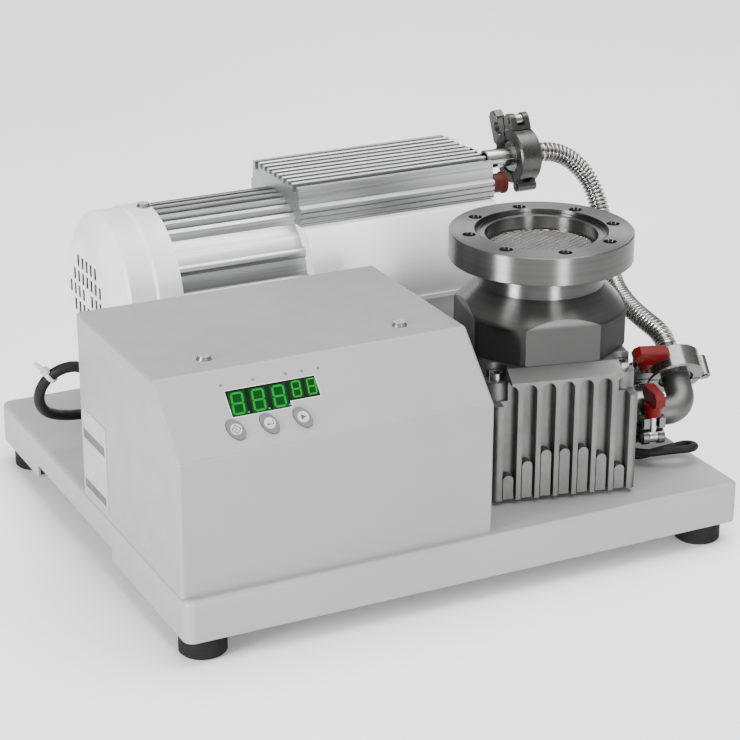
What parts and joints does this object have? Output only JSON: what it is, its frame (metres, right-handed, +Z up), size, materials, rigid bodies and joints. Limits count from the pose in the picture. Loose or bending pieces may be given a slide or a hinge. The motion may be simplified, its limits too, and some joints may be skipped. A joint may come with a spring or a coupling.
{
  "type": "turbo pumping station",
  "caption": "Bench-top turbo pumping station: finned turbo pump with a bolted inlet flange, diaphragm backing pump and controller on one tray",
  "frame": {"origin": "middle of the tray's footprint on the plane that the four feet stand on", "axes": "+X to the right along the tray's width, +Y to the back, +Z up; the controller's panel faces -Y"},
  "size_m": [0.4277, 0.33, 0.2214],
  "materials": {
    "aluminium": "brushed",
    "black_plastic": "matte",
    "black_rubber": "matte",
    "bright_steel": "polished",
    "brown_plastic": "matte",
    "cast_aluminium": "as cast",
    "cast_iron": "as cast",
    "circuit": "matte",
    "copper_winding": "satin",
    "display_glass": "gloss",
    "grey_plastic": "matte",
    "gunmetal": "satin",
    "painted_sheet": "fine textured satin",
    "red_plastic": "satin",
    "white_paint": "satin",
    "white_plastic": "satin"
  },
  "bodies": {
    "station": {"backing_port": "bright_steel", "base_tray": "painted_sheet", "bellows_hose": "bright_steel", "centring_rings": "bright_steel", "controller_back_panel": "painted_sheet", "controller_board": "circuit", "controller_cover": "painted_sheet", "crankcase": "white_paint", "cross_head_screws": "bright_steel", "diaphragms": "black_rubber", "display_board": "circuit", "display_window": "display_glass", "drag_sleeve": "aluminium", "elbow": "cast_iron", "elbow_clamp": "cast_aluminium", "exhaust_cap": "brown_plastic", "fan_cowl": "white_plastic", "head_block": "aluminium", "head_screws": "bright_steel", "inlet_clamp": "gunmetal", "inlet_screen": "bright_steel", "inlet_tube": "bright_steel", "mains_inlet": "black_plastic", "motor_end_plate": "aluminium", "motor_housing": "aluminium", "port_clamp": "cast_aluminium", "power_supply": "aluminium", "pump_cable": "black_rubber", "pump_cable_plug": "black_plastic", "pump_feet": "black_rubber", "pump_motor_stator": "cast_iron", "rubber_feet": "black_rubber", "shaft_bearings": "bright_steel", "stator_stack": "aluminium", "transfer_hose": "black_rubber", "tray_screws": "bright_steel", "turbo_base": "cast_aluminium", "turbo_base_plate": "aluminium", "turbo_bearings": "bright_steel", "turbo_cable": "black_rubber", "turbo_cap_screws": "bright_steel", "turbo_envelope": "bright_steel", "turbo_motor_stator": "copper_winding"},
    "turbo_spindle": {"turbo_rotor": "aluminium", "rotor_shaft": "bright_steel"},
    "pump_crank": {"crankshaft": "bright_steel", "cooling_fan": "black_plastic"},
    "rod_left": {"connecting_rod_left": "aluminium"},
    "rod_right": {"connecting_rod_right": "aluminium"},
    "key_left": {"button_left": "grey_plastic"},
    "key_middle": {"button_middle": "grey_plastic"},
    "key_right": {"button_right": "grey_plastic"},
    "rocker": {"power_rocker": "black_plastic"},
    "vent_valve": {"vent_knob": "black_plastic"},
    "port_swing_bolt": {"port_bolt": "bright_steel"},
    "port_nut": {"port_wing_nut": "red_plastic"},
    "elbow_swing_bolt": {"elbow_bolt": "bright_steel"},
    "elbow_nut": {"elbow_wing_nut": "red_plastic"},
    "inlet_swing_bolt": {"inlet_bolt": "bright_steel"},
    "inlet_nut": {"inlet_wing_nut": "gunmetal"}
  },
  "joints": [
    {"name": "turbo_spin", "type": "hinge", "parent": "station", "child": "turbo_spindle", "pos_m": [0.0874, -0.0799, 0.12], "axis": [0, 0, 1], "continuous": true},
    {"name": "crank_spin", "type": "hinge", "parent": "station", "child": "pump_crank", "pos_m": [0, 0.1, 0.1288], "axis": [1, 0, 0], "continuous": true},
    {"name": "rod_left_turn", "type": "hinge", "parent": "pump_crank", "child": "rod_left", "pos_m": [0.02615, 0.1, 0.1258], "axis": [1, 0, 0], "continuous": true},
    {"name": "rod_right_turn", "type": "hinge", "parent": "pump_crank", "child": "rod_right", "pos_m": [0.09815, 0.1, 0.1318], "axis": [1, 0, 0], "continuous": true},
    {"name": "key_left_press", "type": "slide", "parent": "station", "child": "key_left", "axis": [0, 0.7071, -0.7071], "range_m": [0, 0.0008], "stiffness_N_per_m": 600, "springref_m": -0.0005},
    {"name": "key_middle_press", "type": "slide", "parent": "station", "child": "key_middle", "axis": [0, 0.7071, -0.7071], "range_m": [0, 0.0008], "stiffness_N_per_m": 600, "springref_m": -0.0005},
    {"name": "key_right_press", "type": "slide", "parent": "station", "child": "key_right", "axis": [0, 0.7071, -0.7071], "range_m": [0, 0.0008], "stiffness_N_per_m": 600, "springref_m": -0.0005},
    {"name": "rocker_tip", "type": "hinge", "parent": "station", "child": "rocker", "pos_m": [-0.04, -0.0064, 0.104], "axis": [-1, 0, 0], "range_deg": [0, 16]},
    {"name": "vent_turn", "type": "hinge", "parent": "station", "child": "vent_valve", "pos_m": [0.03306, -0.04815, 0.13], "axis": [0, 0, 1], "range_deg": [0, 180]},
    {"name": "port_bolt_swing", "type": "hinge", "parent": "station", "child": "port_swing_bolt", "pos_m": [0.15027, -0.11789, 0.0612], "axis": [-0.9754, 0.2204, 0], "range_deg": [-90, 0]},
    {"name": "port_nut_turn", "type": "hinge", "parent": "port_swing_bolt", "child": "port_nut", "pos_m": [0.15027, -0.11789, 0.0792], "axis": [0, 0, 1], "continuous": true},
    {"name": "elbow_bolt_swing", "type": "hinge", "parent": "station", "child": "elbow_swing_bolt", "pos_m": [0.16722, -0.07176, 0.08345], "axis": [0.1688, 0.7472, 0.6428], "range_deg": [-45, 0]},
    {"name": "elbow_nut_turn", "type": "hinge", "parent": "elbow_swing_bolt", "child": "elbow_nut", "pos_m": [0.16621, -0.08335, 0.09719], "axis": [-0.0561, -0.6438, 0.7631], "continuous": true},
    {"name": "inlet_bolt_swing", "type": "hinge", "parent": "station", "child": "inlet_swing_bolt", "pos_m": [0.161, 0.07937, 0.21636], "axis": [-1, 0, 0], "range_deg": [-90, 0]},
    {"name": "inlet_nut_turn", "type": "hinge", "parent": "inlet_swing_bolt", "child": "inlet_nut", "pos_m": [0.161, 0.09568, 0.20875], "axis": [0, 0.9063, -0.4226], "continuous": true}
  ],
  "couplings": [
    {"joint": "rod_left_turn", "follows": "crank_spin", "ratio": -1},
    {"joint": "rod_right_turn", "follows": "crank_spin", "ratio": -1}
  ]
}
